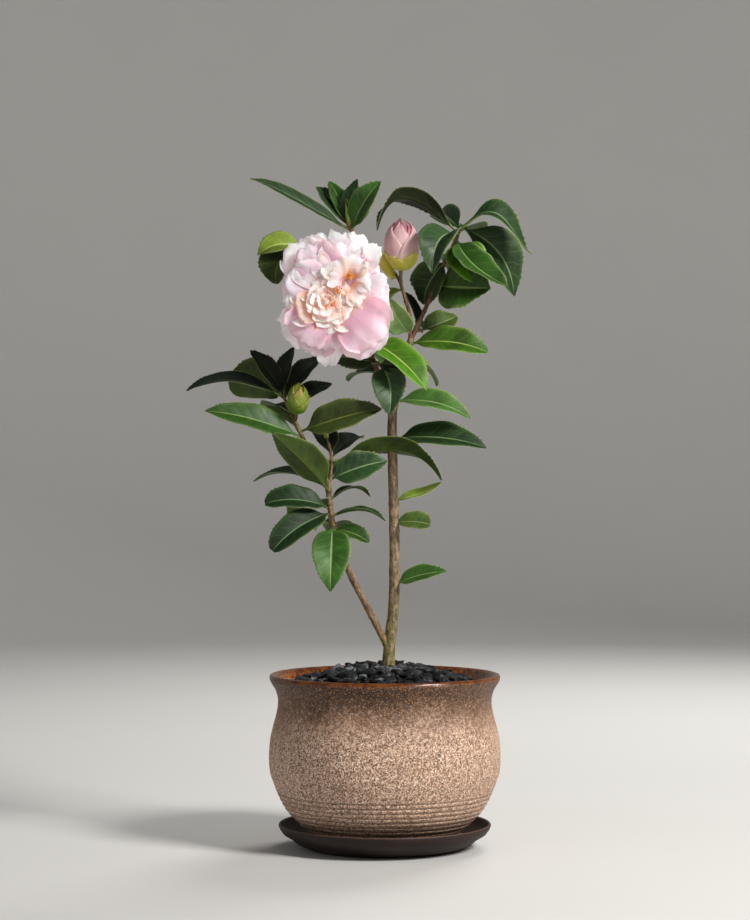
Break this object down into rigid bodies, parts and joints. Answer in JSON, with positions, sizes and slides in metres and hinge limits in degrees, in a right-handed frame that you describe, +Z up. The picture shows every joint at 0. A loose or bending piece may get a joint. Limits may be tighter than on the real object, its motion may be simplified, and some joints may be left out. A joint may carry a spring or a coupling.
{
  "type": "potted camellia shrub",
  "caption": "Young camellia shrub with slender stems, glossy toothed leaves, an open ruffled pale pink bloom and closed buds, in a round-bellied stoneware pot on a saucer.",
  "frame": {"origin": "centre of the saucer's flat underside", "axes": "+Z up along the pot's axis; -Y is the side that the bloom faces; +X is to the right as seen from that side"},
  "size_m": [0.3007, 0.1998, 0.5773],
  "materials": {
    "saucer_clay": "matte",
    "pot_clay": "matte, speckled, with a glazed lip",
    "soil": "rough",
    "pebbles": "satin",
    "bark": "rough",
    "leaf": "glossy",
    "petal": "soft",
    "bud_scale": "satin"
  },
  "bodies": {
    "root": {"saucer": "saucer_clay", "pot": "pot_clay", "soil": "soil", "pebbles": "pebbles", "main_stem": "bark", "side_stem": "bark", "right_shoot": "bark", "top_shoot": "bark", "bloom_shoot": "bark", "top_left_foliage": "leaf", "top_right_foliage": "leaf", "right_shoot_foliage": "leaf", "bud_stalk_leaf": "leaf", "fork_leaf_right": "leaf", "fork_leaf_left": "leaf", "fork_leaf_back": "leaf", "fork_leaf_hidden": "leaf", "bloom_shoot_leaf_front": "leaf", "bloom_shoot_foliage": "leaf", "bloom_shoot_leaf_back": "leaf", "stem_leaf_top": "leaf", "stem_leaf_upper": "leaf", "stem_leaf_narrow": "leaf", "stem_leaf_small": "leaf", "stem_leaf_lowest": "leaf", "behind_bloom_foliage": "leaf", "left_lower_foliage": "leaf", "left_middle_foliage": "leaf", "left_top_foliage": "leaf", "bloom": "petal", "pink_bud": "petal", "green_bud": "bud_scale"}
  },
  "joints": []
}
